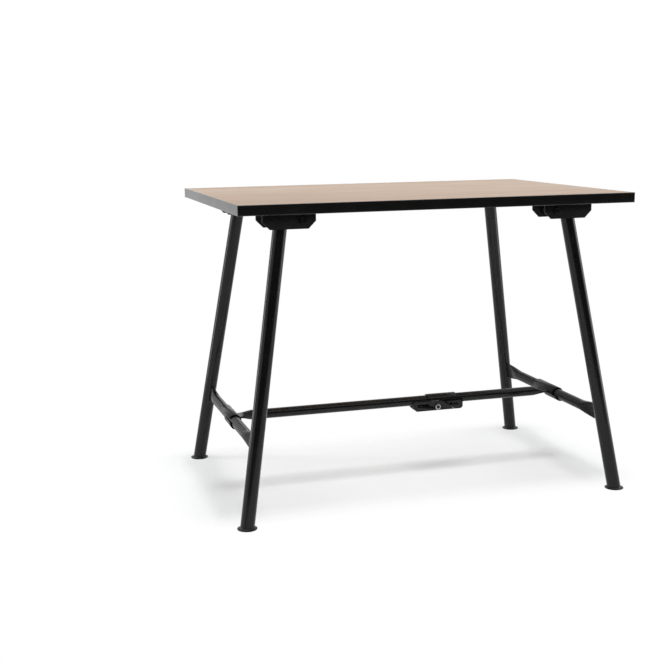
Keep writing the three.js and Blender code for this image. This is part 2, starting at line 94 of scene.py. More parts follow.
def camera_matrix():
    """Turns the camera's azimuth, elevation and roll into its place and three axes."""
    flat = math.cos(CAMERA_ELEVATION)
    sideways = math.sin(CAMERA_AZIMUTH)
    ahead = math.cos(CAMERA_AZIMUTH)
    back = Vector((sideways * flat, -ahead * flat, math.sin(CAMERA_ELEVATION)))
    right = Vector((ahead, sideways, 0))
    up = back.cross(right)
    cosine, sine = math.cos(CAMERA_ROLL), math.sin(CAMERA_ROLL)
    axes = Matrix((right * cosine + up * sine, up * cosine - right * sine, back)).transposed()
    return Matrix.Translation(CAMERA_PLACE) @ axes.to_4x4()


bpy.ops.object.select_all(action="DESELECT")
bpy.ops.object.camera_add()
camera = bpy.context.active_object
camera.name = "photo_camera"
camera.matrix_world = camera_matrix()
camera.data.lens = CAMERA_LENS
camera.data.sensor_width = SENSOR
bpy.context.scene.camera = camera
bpy.context.scene.view_settings.view_transform = "Standard"
print("camera lens", camera.data.lens, "mm")

# %% [markdown]
# ## Shared effects for the finishes
# Several finishes share the same kind of detail: a fine relief that breaks up a highlight, broad patches
# where a surface is a little duller, and streaks that run one way. Each material could hold its own copy
# of these nodes, but then every change is made in each of them. A node group is built once and placed
# with its own values, so that one idea serves powder coat, plastic, rubber, zinc and wood at their own
# scales.


# %% Node helpers
def put(tree, kind, sockets=None, **settings):
    """Adds a node, sets its options and then its input sockets by name or index."""
    node = tree.nodes.new(kind)
    for key, value in settings.items():
        setattr(node, key, value)
    for key, value in (sockets or {}).items():
        node.inputs[key].default_value = value
    return node


def wire(tree, *pairs):
    """Joins output sockets to input sockets, two by two."""
    for output, target in pairs:
        tree.links.new(output, target)


def new_group(name, inputs, outputs):
    """Starts a shader node group with float inputs and outputs and returns its tree and two end nodes."""
    tree = bpy.data.node_groups.new(name, "ShaderNodeTree")
    for label, value in inputs.items():
        socket = tree.interface.new_socket(label, in_out="INPUT", socket_type="NodeSocketFloat")
        socket.default_value = value
    for label in outputs:
        tree.interface.new_socket(label, in_out="OUTPUT", socket_type="NodeSocketFloat")
    return tree, put(tree, "NodeGroupInput"), put(tree, "NodeGroupOutput")


print("helpers that place nodes, join them and start a group")


# %% Fine relief, dull patches and streaks
RELIEF_INPUTS = {"Scale": 800.0, "Detail": 2.0}
PATCH_INPUTS = {"Scale": 12.0, "Low": 0.3, "High": 0.5}
STREAK_INPUTS = {"Along": 1.0, "Across": 40.0, "Low": 0.35, "High": 0.65}


def make_fine_relief():
    """Height of a fine grain, such as the orange peel of a powder coat."""
    tree, given, result = new_group("fine_relief", RELIEF_INPUTS, ["Height"])
    place = put(tree, "ShaderNodeTexCoord")
    grain = put(tree, "ShaderNodeTexNoise", {"Roughness": 0.55})
    wire(
        tree,
        (place.outputs["Object"], grain.inputs["Vector"]),
        (given.outputs["Scale"], grain.inputs["Scale"]),
        (given.outputs["Detail"], grain.inputs["Detail"]),
        (grain.outputs["Fac"], result.inputs["Height"]),
    )
    return tree


def make_dull_patches():
    """Value that drifts between two levels over broad, soft patches."""
    tree, given, result = new_group("dull_patches", PATCH_INPUTS, ["Value"])
    place = put(tree, "ShaderNodeTexCoord")
    cloud = put(tree, "ShaderNodeTexNoise", {"Detail": 5.0, "Roughness": 0.6})
    spread = put(tree, "ShaderNodeMapRange", {"From Min": 0.3, "From Max": 0.7}, clamp=True)
    wire(
        tree,
        (place.outputs["Object"], cloud.inputs["Vector"]),
        (given.outputs["Scale"], cloud.inputs["Scale"]),
        (cloud.outputs["Fac"], spread.inputs["Value"]),
        (given.outputs["Low"], spread.inputs["To Min"]),
        (given.outputs["High"], spread.inputs["To Max"]),
        (spread.outputs["Result"], result.inputs["Value"]),
    )
    return tree


def make_streaks():
    """Mask of streaks that run along X, with their own fineness along and across."""
    tree, given, result = new_group("streaks", STREAK_INPUTS, ["Mask"])
    place = put(tree, "ShaderNodeTexCoord")
    scales = put(tree, "ShaderNodeCombineXYZ")
    stretch = put(tree, "ShaderNodeVectorMath", operation="MULTIPLY")
    fibres = put(
        tree, "ShaderNodeTexNoise", {"Scale": 1.0, "Detail": 4.0, "Roughness": 0.6, "Distortion": 0.25}
    )
    spread = put(tree, "ShaderNodeMapRange", clamp=True)
    wire(
        tree,
        (given.outputs["Along"], scales.inputs["X"]),
        (given.outputs["Across"], scales.inputs["Y"]),
        (given.outputs["Across"], scales.inputs["Z"]),
        (place.outputs["Object"], stretch.inputs[0]),
        (scales.outputs["Vector"], stretch.inputs[1]),
        (stretch.outputs["Vector"], fibres.inputs["Vector"]),
        (fibres.outputs["Fac"], spread.inputs["Value"]),
        (given.outputs["Low"], spread.inputs["From Min"]),
        (given.outputs["High"], spread.inputs["From Max"]),
        (spread.outputs["Result"], result.inputs["Mask"]),
    )
    return tree


FINE_RELIEF = make_fine_relief()
DULL_PATCHES = make_dull_patches()
STREAKS = make_streaks()
print("node groups", sorted(group.name for group in bpy.data.node_groups))

# %% [markdown]
# ## Finishes
# Five of the six finishes are near black or grey: a satin powder coat on the legs, the brace and the
# latch, a matt copy of it on the brackets, shoes, crossbars and sleeves, whose darker colour is painted
# shade, the plastic edge strip, rubber feet, and bright zinc fasteners. With one flat colour and one
# roughness they would all look like the same plastic. They differ in gloss and in the size of their grain
# much more than in colour, so one function makes all five, each with its own relief and its own dull
# patches.


# %% Helpers for a finish
def use_group(tree, group, **values):
    """Places a node group and sets its inputs."""
    node = put(tree, "ShaderNodeGroup", node_tree=group)
    for label, value in values.items():
        node.inputs[label].default_value = value
    return node


def new_finish(name):
    """Starts a material with one Principled shader and returns the material, its tree and the shader."""
    material = bpy.data.materials.new(name)
    material.use_nodes = True
    tree = material.node_tree
    tree.nodes.clear()
    shader = put(tree, "ShaderNodeBsdfPrincipled")
    output = put(tree, "ShaderNodeOutputMaterial")
    wire(tree, (shader.outputs["BSDF"], output.inputs["Surface"]))
    return material, tree, shader


def add_relief(tree, shader, height, strength, distance):
    """Lets a height bend the shader's normal."""
    bump = put(tree, "ShaderNodeBump", {"Strength": strength, "Distance": distance})
    wire(tree, (height, bump.inputs["Height"]), (bump.outputs["Normal"], shader.inputs["Normal"]))


def mixed(tree, mask, first, second):
    """Colour that goes from the first to the second as the mask goes from 0 to 1."""
    mix = put(tree, "ShaderNodeMix", data_type="RGBA")
    colours = [socket for socket in mix.inputs if socket.type == "RGBA"]
    for socket, value in zip(colours, (first, second)):
        if isinstance(value, bpy.types.NodeSocket):
            wire(tree, (value, socket))
        else:
            socket.default_value = (*value, 1)
    wire(tree, (mask, mix.inputs["Factor"]))
    return next(socket for socket in mix.outputs if socket.type == "RGBA")


print("helpers that start a finish, bend its normal and mix its colours")

# %% Black, rubber and zinc finishes
SHADE_FINENESS = 2.3
COAT_RELIEF = {"scale": 620.0, "detail": 1.5, "strength": 0.10, "depth": 0.2 * MM}


def plain_finish(name, dark, light, relief, dull, specular=0.5, metallic=0.0):
    """Finish of one material: two close colours in patches, a fine relief and a drifting roughness."""
    material, tree, shader = new_finish(name)
    grain = use_group(tree, FINE_RELIEF, Scale=relief["scale"], Detail=relief["detail"])
    patches = use_group(tree, DULL_PATCHES, Scale=dull["scale"], Low=dull["low"], High=dull["high"])
    shade = use_group(tree, DULL_PATCHES, Scale=dull["scale"] * SHADE_FINENESS, Low=0.0, High=1.0)
    colour = mixed(tree, shade.outputs["Value"], dark, light)
    wire(
        tree,
        (colour, shader.inputs["Base Color"]),
        (patches.outputs["Value"], shader.inputs["Roughness"]),
    )
    add_relief(tree, shader, grain.outputs["Height"], relief["strength"], relief["depth"])
    shader.inputs["Specular IOR Level"].default_value = specular
    shader.inputs["Metallic"].default_value = metallic
    return material


FINISHES = {
    "black_steel": plain_finish(
        "satin_powder_coat", (0.0070, 0.0070, 0.0074), (0.0105, 0.0105, 0.0110), COAT_RELIEF,
        {"scale": 7.0, "low": 0.11, "high": 0.19}, specular=0.26,
    ),
    # The same powder coat, matt and darker: its darker colour is painted shade for parts that sit in
    # shade.
    "shaded_matt_steel": plain_finish(
        "matt_powder_coat", (0.0050, 0.0050, 0.0053), (0.0080, 0.0080, 0.0084), COAT_RELIEF,
        {"scale": 7.0, "low": 0.20, "high": 0.30}, specular=0.085,
    ),
    "edging": plain_finish(
        "edge_strip_plastic", (0.0090, 0.0086, 0.0083), (0.0125, 0.0120, 0.0116),
        {"scale": 1500.0, "detail": 3.0, "strength": 0.10, "depth": 0.1 * MM},
        {"scale": 9.0, "low": 0.12, "high": 0.20}, specular=0.22,
    ),
    "rubber": plain_finish(
        "foot_rubber", (0.0060, 0.0060, 0.0063), (0.0105, 0.0105, 0.0108),
        {"scale": 1900.0, "detail": 4.0, "strength": 0.30, "depth": 0.2 * MM},
        {"scale": 60.0, "low": 0.38, "high": 0.52}, specular=0.30,
    ),
    "zinc": plain_finish(
        "zinc_plate", (0.40, 0.41, 0.43), (0.62, 0.63, 0.65),
        {"scale": 1400.0, "detail": 2.0, "strength": 0.12, "depth": 0.1 * MM},
        {"scale": 180.0, "low": 0.20, "high": 0.38}, metallic=1.0,
    ),
}
# Both powder coats are one painted steel in the CAD.
print("finishes", sorted(FINISHES))

# %% [markdown]
# The board is birch plywood. Its upper veneer is even, with long faint streaks and short pores; the
# lower one is paler, with round knots and pinkish clouds. A picture of wood could be laid on it, but
# that blurs from near and repeats from far. Noise has neither fault. Both veneers run along the bench,
# so it is stretched along X, and the height of a point decides which veneer it shows.

# %% Veneer colours, streaks and knots
VENEER_SPLIT = 0.8315
UPPER_VENEER = ((0.585, 0.458, 0.362), (0.490, 0.360, 0.268))
WARM_SHADE = (0.570, 0.385, 0.268)
LOWER_VENEER = ((0.760, 0.625, 0.510), (0.690, 0.530, 0.420))
FIBRE_SHADE = (0.400, 0.300, 0.225)
PORE_SHADE = (0.270, 0.185, 0.130)
KNOT_SHADE = (0.215, 0.105, 0.050)
VENEER_STREAKS = {
    "figure": {"Along": 0.9, "Across": 7.0, "Low": 0.34, "High": 0.66},
    "clouds": {"Along": 2.2, "Across": 4.5, "Low": 0.42, "High": 0.64},
    "fibres": {"Along": 5.0, "Across": 210.0, "Low": 0.40, "High": 0.78},
    "pores": {"Along": 34.0, "Across": 760.0, "Low": 0.60, "High": 0.76},
    "warmth": {"Along": 1.6, "Across": 11.0, "Low": 0.46, "High": 0.70},
}
KNOTS_ALONG = 2.3
KNOTS_ACROSS = 3.1
KNOT_SCATTER = 0.9
KNOT_SIZE = 0.095
KNOT_CORE = 0.25
KNOTLESS_SHARE = 0.42
RING_FINENESS = 210.0
RING_FLOOR = 0.45


def weakened(tree, mask, share):
    """The same mask at a share of its strength."""
    less = put(tree, "ShaderNodeMath", {1: share}, operation="MULTIPLY")
    wire(tree, (mask, less.inputs[0]))
    return less.outputs["Value"]


def knot_mask(tree):
    """Mask of round knots with rings, in some of the cells of a coarse grid."""
    place = put(tree, "ShaderNodeTexCoord")
    stretch = put(tree, "ShaderNodeVectorMath", {1: (KNOTS_ALONG, KNOTS_ACROSS, 0)}, operation="MULTIPLY")
    cells = put(
        tree, "ShaderNodeTexVoronoi", {"Scale": 1.0, "Randomness": KNOT_SCATTER}, voronoi_dimensions="2D"
    )
    chosen = put(tree, "ShaderNodeSeparateColor")
    some = put(tree, "ShaderNodeMath", {1: KNOTLESS_SHARE}, operation="GREATER_THAN")
    reach = {"From Min": KNOT_SIZE, "From Max": KNOT_SIZE * KNOT_CORE}
    near = put(tree, "ShaderNodeMapRange", reach, clamp=True)
    turns = put(tree, "ShaderNodeMath", {1: RING_FINENESS}, operation="MULTIPLY")
    rings = put(tree, "ShaderNodeMath", operation="SINE")
    soft_rings = put(tree, "ShaderNodeMapRange", {"From Min": -1.0, "To Min": RING_FLOOR}, clamp=True)
    ringed = put(tree, "ShaderNodeMath", operation="MULTIPLY")
    gated = put(tree, "ShaderNodeMath", operation="MULTIPLY")
    wire(
        tree,
        (place.outputs["Object"], stretch.inputs[0]),
        (stretch.outputs["Vector"], cells.inputs["Vector"]),
        (cells.outputs["Color"], chosen.inputs["Color"]),
        (chosen.outputs["Red"], some.inputs[0]),
        (cells.outputs["Distance"], near.inputs["Value"]),
        (cells.outputs["Distance"], turns.inputs[0]),
        (turns.outputs["Value"], rings.inputs[0]),
        (rings.outputs["Value"], soft_rings.inputs["Value"]),
        (near.outputs["Result"], ringed.inputs[0]),
        (soft_rings.outputs["Result"], ringed.inputs[1]),
        (ringed.outputs["Value"], gated.inputs[0]),
        (some.outputs["Value"], gated.inputs[1]),
    )
    return gated.outputs["Value"]


print("veneer streaks", sorted(VENEER_STREAKS))

# %% Plywood
UPPER_LAYERS = (("warmth", 0.55, WARM_SHADE), ("fibres", 0.50, FIBRE_SHADE), ("pores", 0.55, PORE_SHADE))
LOWER_LAYERS = (("fibres", 0.30, FIBRE_SHADE), ("knots", 0.55, KNOT_SHADE))
WOOD_DULL = {"Scale": 5.0, "Low": 0.50, "High": 0.62}
WOOD_SPECULAR = 0.35
PORE_RELIEF, PORE_DEPTH = 0.25, -0.12 * MM


def layered(tree, colour, layers, masks):
    """Lays shades over a colour, each by its mask at a share of its strength."""
    for name, share, shade in layers:
        colour = mixed(tree, weakened(tree, masks[name], share), colour, shade)
    return colour


def make_plywood():
    """Plywood with an even upper veneer and a knotty lower one."""
    material, tree, shader = new_finish("birch_plywood")
    masks = {
        name: use_group(tree, STREAKS, **values).outputs["Mask"] for name, values in VENEER_STREAKS.items()
    }
    masks["knots"] = knot_mask(tree)
    upper = layered(tree, mixed(tree, masks["figure"], *UPPER_VENEER), UPPER_LAYERS, masks)
    lower = layered(tree, mixed(tree, masks["clouds"], *LOWER_VENEER), LOWER_LAYERS, masks)
    place = put(tree, "ShaderNodeTexCoord")
    parts = put(tree, "ShaderNodeSeparateXYZ")
    above = put(tree, "ShaderNodeMath", {1: VENEER_SPLIT}, operation="GREATER_THAN")
    wire(tree, (place.outputs["Object"], parts.inputs["Vector"]), (parts.outputs["Z"], above.inputs[0]))
    wire(tree, (mixed(tree, above.outputs["Value"], lower, upper), shader.inputs["Base Color"]))
    patches = use_group(tree, DULL_PATCHES, **WOOD_DULL)
    wire(tree, (patches.outputs["Value"], shader.inputs["Roughness"]))
    add_relief(tree, shader, masks["pores"], PORE_RELIEF, PORE_DEPTH)
    shader.inputs["Specular IOR Level"].default_value = WOOD_SPECULAR
    return material


FINISHES["plywood"] = make_plywood()
print("plywood nodes", len(FINISHES["plywood"].node_tree.nodes))

# %% [markdown]
# ## Modelling helpers
# Each piece starts as a primitive, is shaped in edit mode and ends at the origin with its place in its
# mesh, as the CAD nodes do. The meshes could be written out point by point instead, but operators keep
# the steps that a maker takes: fold, cut, press, round. They act on whatever is selected, so every
# helper clears the selection first. The corner pieces are made once, at the back right, and mirrored to
# the other corners.


# %% Selecting and starting a piece
def pick(piece):
    """Makes one piece the only selected and the active one."""
    bpy.ops.object.select_all(action="DESELECT")
    piece.select_set(True)
    bpy.context.view_layer.objects.active = piece


def begin(add, name, stretch=(1, 1, 1), **values):
    """Adds a primitive, stretches it and moves its place and size into its mesh."""
    bpy.ops.object.select_all(action="DESELECT")
    add(**values)
    piece = bpy.context.active_object
    piece.scale = stretch
    piece.name = name
    piece.data.name = name
    bpy.ops.object.transform_apply(location=True, rotation=True, scale=True)
    return piece


def open_edit(piece, kind="FACE"):
    """Opens a piece in edit mode with nothing selected."""
    pick(piece)
    bpy.ops.object.mode_set(mode="EDIT")
    bpy.ops.mesh.select_mode(type=kind)
    bpy.ops.mesh.select_all(action="DESELECT")


def close_edit():
    """Goes back to object mode."""
    bpy.ops.object.mode_set(mode="OBJECT")


def select_where(piece, kind, test):
    """In edit mode, selects the verts, edges or faces that pass a test, and nothing else."""
    bpy.ops.mesh.select_all(action="DESELECT")
    mesh = bmesh.from_edit_mesh(piece.data)
    for item in getattr(mesh, kind):
        if test(item):
            item.select_set(True)
    mesh.select_flush_mode()
    bmesh.update_edit_mesh(piece.data)


print("helpers that pick, start and open a piece and select in it")


# %% Finishing a piece
def modify(piece, kind, **settings):
    """Adds a modifier, sets it and applies it."""
    pick(piece)
    step = piece.modifiers.new(kind.lower(), kind)
    for key, value in settings.items():
        setattr(step, key, value)
    bpy.ops.object.modifier_apply(modifier=step.name)


def soften(piece, width, segments=2, angle=30):
    """Rounds the edges that are sharper than an angle."""
    modify(
        piece, "BEVEL", width=width, segments=segments, limit_method="ANGLE",
        angle_limit=math.radians(angle),
    )


def dress(piece, finish, body, *nodes, angle=35):
    """Gives a finished piece its smooth shading, finish and body, and the nodes that it stands for."""
    pick(piece)
    bpy.ops.object.shade_smooth_by_angle(angle=math.radians(angle))
    piece.data.materials.clear()
    piece.data.materials.append(FINISHES[finish])
    if nodes:
        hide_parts(*nodes)
    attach(piece, body)
    bpy.ops.object.select_all(action="DESELECT")


print("helpers that apply a modifier, round the edges and dress a piece")


# %% Copies and blocks
def twin(piece, name, matrix):
    """Copy with its own mesh, moved by a matrix; a mirrored copy is turned right side out."""
    copy = piece.copy()
    copy.data = piece.data.copy()
    copy.name = name
    copy.data.name = name
    bpy.context.scene.collection.objects.link(copy)
    copy.data.transform(matrix)
    if matrix.determinant() < 0:
        copy.data.flip_normals()
    return copy


def box_piece(name, low, high):
    """Block between two corners."""
    return begin(
        bpy.ops.mesh.primitive_cube_add, name, stretch=high - low, size=1, location=(low + high) / 2
    )


def discard(piece):
    """Removes a pattern piece once its copies are made."""
    bpy.data.objects.remove(piece, do_unlink=True)


def at_corners(pattern, name, finish, body_of, nodes_of):
    """Copies a piece from the back right to all four corners and dresses each copy."""
    for row, end in CORNERS:
        copy = twin(pattern, f"{name}_{row}_{end}", Matrix.Diagonal((ENDS[end], ROWS[row], 1, 1)))
        dress(copy, finish, body_of(end), *nodes_of(row, end))
    discard(pattern)
    print(name, "at four corners")


print("helpers that copy a piece, start a block and fill the corners")


# %% Turned pieces
def turned_piece(name, rings, corners, lean=Vector((0, 0, 0))):
    """Round piece about Z, from rings of a radius and a height in mm; both its ends are closed."""
    rings = [(radius * MM, height * MM) for radius, height in rings]
    radius, height = rings[0]
    piece = begin(
        bpy.ops.mesh.primitive_circle_add, name, vertices=corners, radius=radius,
        location=lean * height + Vector((0, 0, height)), fill_type="NOTHING",
    )
    open_edit(piece, "EDGE")
    bpy.ops.mesh.select_all(action="SELECT")
    bpy.ops.mesh.edge_face_add()
    bpy.ops.mesh.select_mode(type="FACE")
    for next_radius, next_height in rings[1:]:
        rise = next_height - height
        bpy.ops.mesh.extrude_region_move(
            TRANSFORM_OT_translate={"value": lean * rise + Vector((0, 0, rise))}
        )
        ratio = next_radius / radius
        middle = lean * next_height + Vector((0, 0, next_height))
        bpy.ops.transform.resize(value=(ratio, ratio, 1), center_override=middle)
        radius, height = next_radius, next_height
    bpy.ops.mesh.select_mode(type="EDGE")
    select_where(piece, "edges", lambda edge: edge.is_boundary)
    if any(edge.select for edge in bmesh.from_edit_mesh(piece.data).edges):
        bpy.ops.mesh.edge_face_add()
    bpy.ops.mesh.select_all(action="SELECT")
    bpy.ops.mesh.normals_make_consistent(inside=False)
    close_edit()
    return piece


print("helper that turns a piece from its rings")

# %% [markdown]
# ## Board and edge strip
# The board is one sheet, and a strip of black plastic runs round its four edges. Both could stay plain
# boxes, but the small round on the strip's outer edges is what draws a thin light line along the top of
# the front edge. So each box has the edges that show bevelled in edit mode, and the edges against the
# board stay sharp.

# %% Board
BOARD_ROUND = 0.3 * MM
board = box_piece("plywood_board", *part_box("worktop"))
open_edit(board, "EDGE")
bpy.ops.mesh.select_all(action="SELECT")
bpy.ops.mesh.bevel(offset=BOARD_ROUND, segments=2, affect="EDGES")
close_edit()
dress(board, "plywood", TOP, "worktop")
print("board", [round(side, 4) for side in board.dimensions])

# %% Edge strips
STRIP_ROUND = 2.4 * MM
ROUND_STEPS = 6
NEAR = 0.1 * MM
LONG_RUN = 0.1


def outer_edges(axis, outer, with_ends):
    """Test for the long edges of a strip's outer face, and for its short ones where they show too."""

    def is_rounded(edge):
        """Whether an edge lies on the outer face and is one of those that show."""
        on_outer_face = all(abs(corner.co[axis] - outer) < NEAR for corner in edge.verts)
        run = edge.verts[0].co - edge.verts[1].co
        return on_outer_face and (with_ends or abs(run[1 - axis]) > LONG_RUN)

    return is_rounded


for side, axis, sign in (("front", 1, -1), ("back", 1, 1), ("left", 0, -1), ("right", 0, 1)):
    low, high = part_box(f"edge_{side}")
    strip = box_piece(f"edge_strip_{side}", low, high)
    outer = (high if sign > 0 else low)[axis]
    open_edit(strip, "EDGE")
    select_where(strip, "edges", outer_edges(axis, outer, with_ends=axis == 1))
    bpy.ops.mesh.bevel(offset=STRIP_ROUND, segments=ROUND_STEPS, affect="EDGES")
    close_edit()
    dress(strip, "edging", TOP, f"edge_{side}")
print("four edge strips, rounded by", STRIP_ROUND)

# %% [markdown]
# ## Legs and feet
# A leg is a straight tube that leans outwards both ways, cut level at its top and foot. A cylinder of
# the right length would end square to its own line. So a longer one is laid on that line and bisected by
# two level planes, which gives the oval ends that a real saw cut has. The foot is a low flared rim that
# is turned from rings, each one a little further along the lean.

# %% Leg tubes
LEG_AT_BOARD = Vector((0.406, 0.255, 0.818))
LEG_AT_FLOOR = Vector((0.538, 0.346, 0.0))
LEAN = (LEG_AT_BOARD - LEG_AT_FLOOR) / LEG_AT_BOARD.z
LEG_RADIUS = 0.019
TUBE_WALL = 0.002
TUBE_CORNERS = 64
LEG_SPARE = 1.2


def cut_level(height, keep_above):
    """Bisects the piece that is open in edit mode with a level plane and keeps one side."""
    bpy.ops.mesh.select_all(action="SELECT")
    bpy.ops.mesh.bisect(
        plane_co=(0, 0, height), plane_no=(0, 0, 1), clear_inner=keep_above, clear_outer=not keep_above
    )


leg = begin(
    bpy.ops.mesh.primitive_cylinder_add, "leg_pattern", vertices=TUBE_CORNERS, radius=LEG_RADIUS,
    depth=LEG_SPARE, end_fill_type="NOTHING", location=(LEG_AT_BOARD + LEG_AT_FLOOR) / 2,
    rotation=LEAN.to_track_quat("Z", "Y").to_euler(),
)
leg_low, leg_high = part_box("leg_back_right")
open_edit(leg)
cut_level(leg_low.z, True)
cut_level(leg_high.z, False)
close_edit()
modify(leg, "SOLIDIFY", thickness=TUBE_WALL, offset=-1)
at_corners(leg, "leg_tube", "black_steel", FRAMES.get, lambda row, end: [f"leg_{row}_{end}"])

# %% Feet
FOOT_RINGS = [
    (25.4, 0.0), (26.2, 0.3), (26.5, 0.8), (26.5, 1.8), (26.3, 2.2), (25.6, 2.5), (24.0, 2.8),
    (22.4, 3.3), (21.2, 3.9), (20.4, 4.7), (19.9, 5.6), (19.6, 6.5), (16.9, 6.5),
]
FACING_DOWN = -0.9
SOLE_AREA = 100 * MM * MM
GRIP_RING = 4 * MM
GRIP_STEP = 1 * MM
GRIP_DEPTH = -0.8 * MM


def is_sole(face):
    """Whether a face is the large one that stands on the floor."""
    return face.normal.z < FACING_DOWN and face.calc_area() > SOLE_AREA


foot = turned_piece("foot_pattern", FOOT_RINGS, TUBE_CORNERS, Vector((LEAN.x, LEAN.y, 0)))
open_edit(foot)
select_where(foot, "faces", is_sole)
bpy.ops.mesh.inset(thickness=GRIP_RING, depth=0)
bpy.ops.mesh.inset(thickness=GRIP_STEP, depth=GRIP_DEPTH)
close_edit()
foot.data.transform(Matrix.Translation(LEG_AT_FLOOR))
at_corners(foot, "leg_foot", "rubber", FRAMES.get, lambda row, end: [f"foot_{row}_{end}"])

# %% [markdown]
# ## Brackets, shoes and pivots
# A bracket is folded from plate: a base under the board and two cheeks that hang down, with their lower
# corners cut off. A block with a pocket in it would have the outline, but not the folds. So it starts as
# a flat sheet whose long edges are extruded downwards. The folds are bevelled round, the corners are
# bisected away, and Solidify gives the sheet its thickness inwards.

# %% Folded brackets
PLATE = 4 * MM
BRACKET_CHAMFER = 20 * MM
FOLD_ROUND = 5 * MM
PLATE_ROUND = 0.6 * MM
CUT_ANGLE = 50
bracket_low, bracket_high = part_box("bracket_back_right")
middle = (bracket_low + bracket_high) / 2
size = bracket_high - bracket_low
bracket = begin(
    bpy.ops.mesh.primitive_plane_add, "bracket_pattern", stretch=(size.x, size.y, 1), size=1,
    location=(middle.x, middle.y, bracket_high.z),
)


def runs_along_x(edge):
    """Whether both ends of an edge lie at the same depth."""
    return abs(edge.verts[0].co.y - edge.verts[1].co.y) < NEAR


def is_fold(edge):
    """Whether an edge joins the bracket's base to a cheek."""
    return runs_along_x(edge) and all(abs(corner.co.z - bracket_high.z) < NEAR for corner in edge.verts)


open_edit(bracket, "EDGE")
select_where(bracket, "edges", runs_along_x)
bpy.ops.mesh.extrude_edges_move(TRANSFORM_OT_translate={"value": (0, 0, -size.z)})
select_where(bracket, "edges", is_fold)
bpy.ops.mesh.bevel(offset=FOLD_ROUND, segments=ROUND_STEPS, affect="EDGES")
for sign, end_x in ((1, bracket_high.x), (-1, bracket_low.x)):
    bpy.ops.mesh.select_all(action="SELECT")
    bpy.ops.mesh.bisect(
        plane_co=(end_x, 0, bracket_low.z + BRACKET_CHAMFER), plane_no=(sign, 0, -1), clear_outer=True
    )
bpy.ops.mesh.select_all(action="SELECT")
bpy.ops.mesh.normals_make_consistent(inside=False)
close_edit()
facing = sum(face.normal.z * face.area for face in bracket.data.polygons)
if facing < 0:
    bracket.data.flip_normals()
modify(bracket, "SOLIDIFY", thickness=PLATE, offset=-1, use_even_offset=True)
soften(bracket, PLATE_ROUND, angle=CUT_ANGLE)
at_corners(
    bracket, "folded_bracket", "shaded_matt_steel", lambda end: TOP, lambda row, end: [f"bracket_{row}_{end}"]
)

# %% [markdown]
# The shoe that caps each leg, the pivot bolt and nut, and the latch tray have the right shape in the CAD
# already, and only lack the small rounds of real steel. To model them again would only repeat it. Such a
# node is copied, its loose triangles are merged and its flat faces joined, and then its edges are
# bevelled.

# %% Shoes and pivots
SHOE_ROUND = 0.8 * MM
FASTENER_ROUND = 0.5 * MM
FASTENER_ANGLE = 40
MERGE_REACH = 0.002 * MM
FLAT_ANGLE = 1


def softened_copy(node, name, width, angle=30):
    """Copy of a CAD node with its triangles joined and its edges rounded."""
    copy = frame["nodes"][node].copy()
    copy.data = copy.data.copy()
    copy.name = name
    copy.data.name = name
    bpy.context.scene.collection.objects.link(copy)
    for key in list(copy.keys()):
        del copy[key]
    copy.parent = None
    copy.matrix_world = Matrix.Identity(4)
    pick(copy)
    bpy.ops.mesh.customdata_custom_splitnormals_clear()
    open_edit(copy, "VERT")
    bpy.ops.mesh.select_all(action="SELECT")
    bpy.ops.mesh.remove_doubles(threshold=MERGE_REACH)
    bpy.ops.mesh.dissolve_limited(angle_limit=math.radians(FLAT_ANGLE))
    close_edit()
    soften(copy, width, angle=angle)
    return copy


for row, end in CORNERS:
    corner = f"{row}_{end}"
    shoe = softened_copy(f"leg_shoe_{corner}", f"hinge_shoe_{corner}", SHOE_ROUND)
    dress(shoe, "shaded_matt_steel", FRAMES[end], f"leg_shoe_{corner}")
    for kind in ("bolt", "nut"):
        node = f"pivot_{kind}_{corner}"
        fastener = softened_copy(node, f"hinge_{kind}_{corner}", FASTENER_ROUND, FASTENER_ANGLE)
        dress(fastener, "shaded_matt_steel", TOP, node)
print("shoes, pivot bolts and nuts at", len(CORNERS), "corners")

# %% [markdown]
# The bracket screws are bright, and sixteen of them show under the board. A plain disc would do from
# afar, but a folded bench shows its underside, and there they are seen from near. One is modelled, with
# a domed head and a six-sided socket that a Boolean cuts, and then copied to the place of each CAD
# screw.

# %% Bracket screws
SCREW_RINGS = [
    (1.2, -4.0), (2.8, -3.92), (4.2, -3.55), (5.3, -2.9), (6.1, -1.9), (6.5, -0.7), (6.5, 0.0),
    (3.2, 0.0), (3.2, 21.0),
]
SOCKET_RADIUS = 2.5 * MM
SOCKET_DEEP = 2.2 * MM
HEAD_TALL = 4 * MM
SCREW_CORNERS = 32
SCREWS_EACH = 4
screw = turned_piece("screw_pattern", SCREW_RINGS, SCREW_CORNERS)
socket_cutter = begin(
    bpy.ops.mesh.primitive_cylinder_add, "socket_cutter", vertices=6, radius=SOCKET_RADIUS,
    depth=SOCKET_DEEP * 2, location=(0, 0, -HEAD_TALL),
)
modify(screw, "BOOLEAN", operation="DIFFERENCE", object=socket_cutter, solver="EXACT")
discard(socket_cutter)
for row, end in CORNERS:
    for number in range(1, SCREWS_EACH + 1):
        node = f"bracket_screw_{row}_{end}_{number}"
        low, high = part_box(node)
        place = Vector(((low.x + high.x) / 2, (low.y + high.y) / 2, low.z + HEAD_TALL))
        copy = twin(screw, f"socket_screw_{row}_{end}_{number}", Matrix.Translation(place))
        dress(copy, "zinc", TOP, node)
discard(screw)
print("screws", SCREWS_EACH * len(CORNERS))

# %% [markdown]
# ## Crossbars
# Each crossbar is a round tube that is pressed flat and upright at its ends, where it is welded to the
# legs. Scaling the end rings would give a thin ellipse with sharp edges. A press keeps the metal and
# changes the section, so a plain tube gets extra rings by bisecting, and each ring is then drawn from a
# circle towards a flat rounded blade. The blades lean with the legs.

# %% Pressing a tube
PRESS_RINGS = 18
ROUND_SECTION = 2
BLADE_SECTION = 5


def smooth_step(share):
    """Share from 0 to 1 that starts and ends softly."""
    share = min(max(share, 0.0), 1.0)
    return share * share * (3 - 2 * share)


